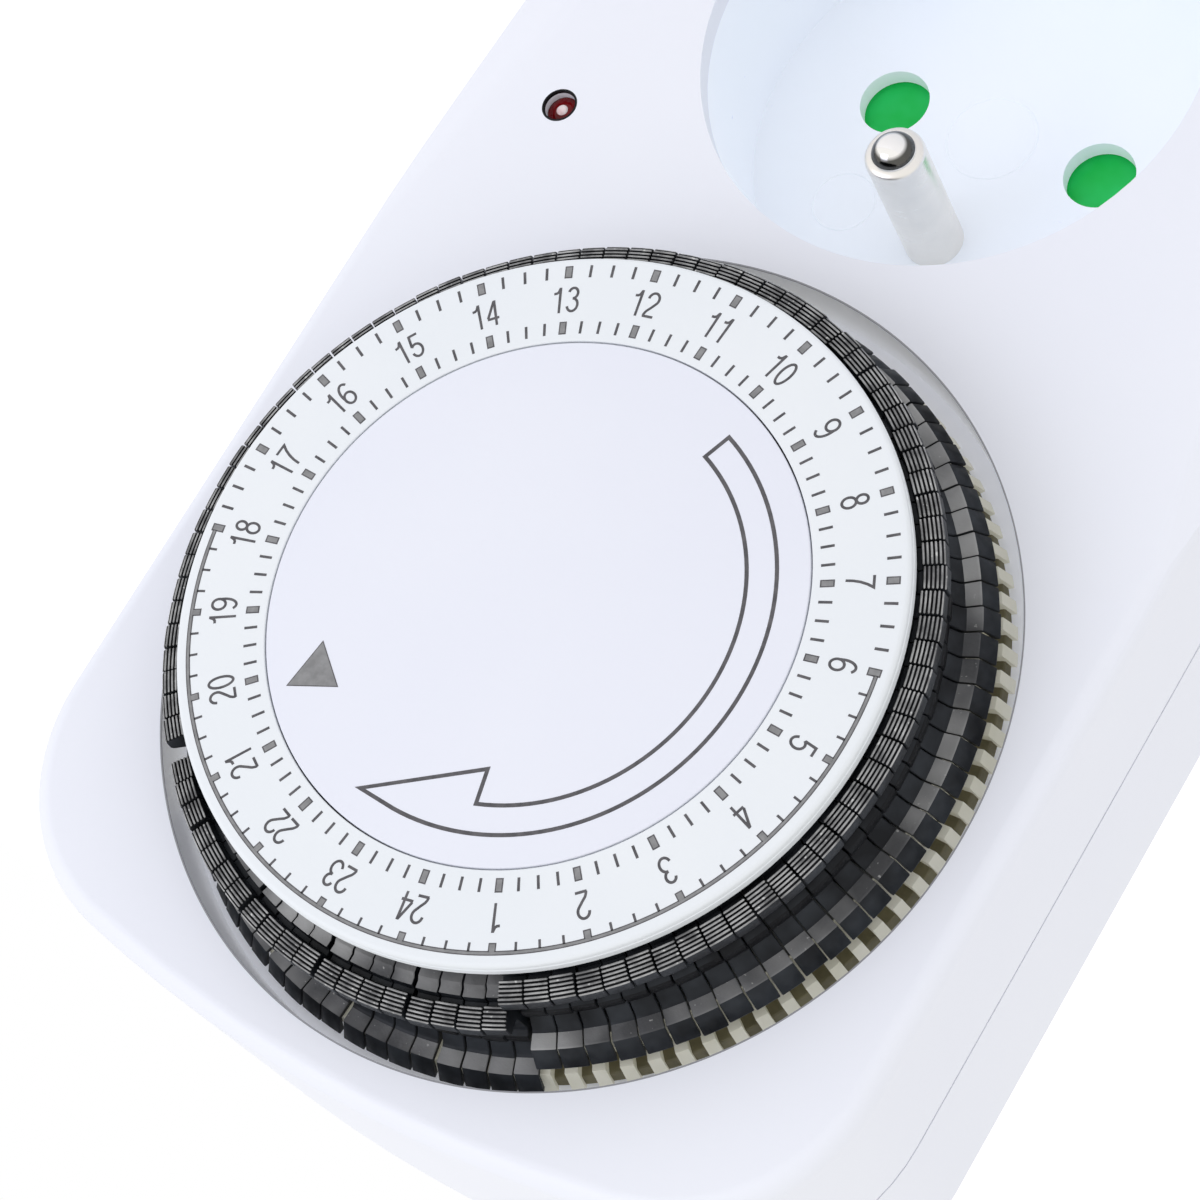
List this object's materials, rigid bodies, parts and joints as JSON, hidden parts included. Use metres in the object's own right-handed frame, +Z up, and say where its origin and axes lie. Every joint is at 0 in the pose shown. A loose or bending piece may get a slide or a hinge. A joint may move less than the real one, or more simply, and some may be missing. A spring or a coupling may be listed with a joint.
{
  "type": "plug in timer switch",
  "caption": "Plug-in mechanical timer switch with a round day dial of push-down segments above an earthed socket, plug at the back.",
  "frame": {"origin": "centre of the plug's end face, between its two pins", "axes": "+X to the right seen from the front, +Y out of the back along the plug pins, +Z up towards the dial end; the front faces -Y"},
  "size_m": [0.0746, 0.0708, 0.1168],
  "materials": {
    "housing_white": "satin moulded white plastic",
    "recess_white": "glossy moulded plastic with a light blue tint",
    "segment_black": "black moulded plastic, smooth skirts and rough ledges",
    "drum_cream": "cream moulded plastic",
    "ring_white": "matt white plastic with dark grey print",
    "disc_white": "matt white plastic with grey print",
    "gear_nylon": "natural nylon",
    "shutter_green": "green plastic",
    "lens_red": "clear red plastic",
    "board_tan": "small circuit board",
    "nickel": "nickel-plated brass, turned",
    "brass": "brass strip",
    "steel": "zinc-plated steel",
    "switch_black": "black thermoset",
    "button_red": "red plastic"
  },
  "bodies": {
    "housing": {"front_shell": "housing_white", "rear_shell": "housing_white", "housing_screws": "steel", "socket_cup": "recess_white", "earth_pin": "nickel", "shutter_spring": "steel", "line_contact": "brass", "neutral_contact": "brass", "line_plug_pin": "nickel", "neutral_plug_pin": "nickel", "earth_strip": "brass", "line_feed_bar": "brass", "switched_line_bar": "brass", "neutral_bar": "brass", "lamp_lens": "lens_red", "lamp_board": "board_tan", "centre_disc": "disc_white", "centre_post": "disc_white", "gear_axles": "steel", "gear_plate": "steel", "plate_screws": "steel", "motor_can": "steel", "switch_body": "switch_black"},
    "dial": {"number_ring": "ring_white", "dial_drum": "drum_cream", "dial_gear": "drum_cream"},
    "third_gear": {"gear_third": "gear_nylon"},
    "second_gear": {"gear_second": "gear_nylon"},
    "first_gear": {"gear_first": "gear_nylon"},
    "motor_rotor": {"motor_pinion": "brass"},
    "socket_shutter": {"shutter": "shutter_green"},
    "feeler": {"feeler_lever": "housing_white"},
    "microswitch_button": {"switch_button": "button_red"},
    "override": {"manual_slider": "segment_black"},
    "segments_00h": {"segments_00h": "segment_black"},
    "segments_01h": {"segments_01h": "segment_black"},
    "segments_02h": {"segments_02h": "segment_black"},
    "segments_03h": {"segments_03h": "segment_black"},
    "segments_04h": {"segments_04h": "segment_black"},
    "segments_05h": {"segments_05h": "segment_black"},
    "segments_06h": {"segments_06h": "segment_black"},
    "segments_07h": {"segments_07h": "segment_black"},
    "segments_08h": {"segments_08h": "segment_black"},
    "segments_09h": {"segments_09h": "segment_black"},
    "segments_10h": {"segments_10h": "segment_black"},
    "segments_11h": {"segments_11h": "segment_black"},
    "segments_12h": {"segments_12h": "segment_black"},
    "segments_13h": {"segments_13h": "segment_black"},
    "segments_14h": {"segments_14h": "segment_black"},
    "segments_15h": {"segments_15h": "segment_black"},
    "segments_16h": {"segments_16h": "segment_black"},
    "segments_17h": {"segments_17h": "segment_black"},
    "segments_18h": {"segments_18h": "segment_black"},
    "segments_19h": {"segments_19h": "segment_black"},
    "segments_20h": {"segments_20h": "segment_black"},
    "segments_20h_pushed": {"segments_20h_pushed": "segment_black"},
    "segments_21h": {"segments_21h": "segment_black"},
    "segments_22h": {"segments_22h": "segment_black"},
    "segments_23h": {"segments_23h": "segment_black"}
  },
  "joints": [
    {"name": "dial_turn", "type": "hinge", "parent": "housing", "child": "dial", "pos_m": [0, -0.0415, 0.056], "axis": [0, -1, 0], "continuous": true},
    {"name": "third_gear_turn", "type": "hinge", "parent": "housing", "child": "third_gear", "pos_m": [-0.01631, -0.0415, 0.04839], "axis": [0, -1, 0], "continuous": true},
    {"name": "second_gear_turn", "type": "hinge", "parent": "housing", "child": "second_gear", "pos_m": [-0.01762, -0.0415, 0.06334], "axis": [0, -1, 0], "continuous": true},
    {"name": "first_gear_turn", "type": "hinge", "parent": "housing", "child": "first_gear", "pos_m": [-0.00701, -0.0415, 0.07394], "axis": [0, -1, 0], "continuous": true},
    {"name": "motor_turn", "type": "hinge", "parent": "housing", "child": "motor_rotor", "pos_m": [0.00699, -0.0415, 0.07019], "axis": [0, -1, 0], "continuous": true},
    {"name": "shutter_turn", "type": "hinge", "parent": "housing", "child": "socket_shutter", "pos_m": [0, -0.0246, 0], "axis": [0, -1, 0], "range_deg": [0, 40], "stiffness_Nm_per_rad": 0.01, "springref_deg": -11.46},
    {"name": "feeler_rock", "type": "hinge", "parent": "housing", "child": "feeler", "pos_m": [0.02322, -0.0333, 0.05994], "axis": [-1, 0, 0], "range_deg": [-3.18, 0], "stiffness_Nm_per_rad": 0.02},
    {"name": "button_press", "type": "slide", "parent": "housing", "child": "microswitch_button", "axis": [0, 1, 0], "range_m": [-0.000489, 0]},
    {"name": "override_slide", "type": "slide", "parent": "housing", "child": "override", "axis": [0, 0, 1], "range_m": [0, 0.005]},
    {"name": "push_00h", "type": "slide", "parent": "dial", "child": "segments_00h", "axis": [-0.1114, 0.9397, 0.3234], "range_m": [-0.00293, 0]},
    {"name": "push_01h", "type": "slide", "parent": "dial", "child": "segments_01h", "axis": [-0.1913, 0.9397, 0.2835], "range_m": [0, 0.00293]},
    {"name": "push_02h", "type": "slide", "parent": "dial", "child": "segments_02h", "axis": [-0.2581, 0.9397, 0.2244], "range_m": [0, 0.00293]},
    {"name": "push_03h", "type": "slide", "parent": "dial", "child": "segments_03h", "axis": [-0.3074, 0.9397, 0.1499], "range_m": [0, 0.00293]},
    {"name": "push_04h", "type": "slide", "parent": "dial", "child": "segments_04h", "axis": [-0.3357, 0.9397, 0.0653], "range_m": [0, 0.00293]},
    {"name": "push_05h", "type": "slide", "parent": "dial", "child": "segments_05h", "axis": [-0.3412, 0.9397, -0.0239], "range_m": [0, 0.00293]},
    {"name": "push_06h", "type": "slide", "parent": "dial", "child": "segments_06h", "axis": [-0.3234, 0.9397, -0.1114], "range_m": [0, 0.00293]},
    {"name": "push_07h", "type": "slide", "parent": "dial", "child": "segments_07h", "axis": [-0.2835, 0.9397, -0.1913], "range_m": [0, 0.00293]},
    {"name": "push_08h", "type": "slide", "parent": "dial", "child": "segments_08h", "axis": [-0.2244, 0.9397, -0.2581], "range_m": [0, 0.00293]},
    {"name": "push_09h", "type": "slide", "parent": "dial", "child": "segments_09h", "axis": [-0.1499, 0.9397, -0.3074], "range_m": [0, 0.00293]},
    {"name": "push_10h", "type": "slide", "parent": "dial", "child": "segments_10h", "axis": [-0.0653, 0.9397, -0.3357], "range_m": [0, 0.00293]},
    {"name": "push_11h", "type": "slide", "parent": "dial", "child": "segments_11h", "axis": [0.0239, 0.9397, -0.3412], "range_m": [0, 0.00293]},
    {"name": "push_12h", "type": "slide", "parent": "dial", "child": "segments_12h", "axis": [0.1114, 0.9397, -0.3234], "range_m": [0, 0.00293]},
    {"name": "push_13h", "type": "slide", "parent": "dial", "child": "segments_13h", "axis": [0.1913, 0.9397, -0.2835], "range_m": [0, 0.00293]},
    {"name": "push_14h", "type": "slide", "parent": "dial", "child": "segments_14h", "axis": [0.2581, 0.9397, -0.2244], "range_m": [0, 0.00293]},
    {"name": "push_15h", "type": "slide", "parent": "dial", "child": "segments_15h", "axis": [0.3074, 0.9397, -0.1499], "range_m": [0, 0.00293]},
    {"name": "push_16h", "type": "slide", "parent": "dial", "child": "segments_16h", "axis": [0.3357, 0.9397, -0.0653], "range_m": [0, 0.00293]},
    {"name": "push_17h", "type": "slide", "parent": "dial", "child": "segments_17h", "axis": [0.3412, 0.9397, 0.0239], "range_m": [0, 0.00293]},
    {"name": "push_18h", "type": "slide", "parent": "dial", "child": "segments_18h", "axis": [0.3234, 0.9397, 0.1114], "range_m": [0, 0.00293]},
    {"name": "push_19h", "type": "slide", "parent": "dial", "child": "segments_19h", "axis": [0.2835, 0.9397, 0.1913], "range_m": [0, 0.00293]},
    {"name": "push_20h", "type": "slide", "parent": "dial", "child": "segments_20h", "axis": [0.2486, 0.9397, 0.2349], "range_m": [0, 0.00293]},
    {"name": "push_20h_pushed", "type": "slide", "parent": "dial", "child": "segments_20h_pushed", "axis": [0.2158, 0.9397, 0.2653], "range_m": [-0.00293, 0]},
    {"name": "push_21h", "type": "slide", "parent": "dial", "child": "segments_21h", "axis": [0.1499, 0.9397, 0.3074], "range_m": [-0.00293, 0]},
    {"name": "push_22h", "type": "slide", "parent": "dial", "child": "segments_22h", "axis": [0.0653, 0.9397, 0.3357], "range_m": [-0.00293, 0]},
    {"name": "push_23h", "type": "slide", "parent": "dial", "child": "segments_23h", "axis": [-0.0239, 0.9397, 0.3412], "range_m": [-0.00293, 0]}
  ],
  "couplings": [
    {"joint": "third_gear_turn", "follows": "dial_turn", "ratio": -5},
    {"joint": "second_gear_turn", "follows": "dial_turn", "ratio": 20},
    {"joint": "first_gear_turn", "follows": "dial_turn", "ratio": -80},
    {"joint": "motor_turn", "follows": "dial_turn", "ratio": 384},
    {"joint": "button_press", "follows": "feeler_rock", "m_per_rad": 0.0088}
  ]
}
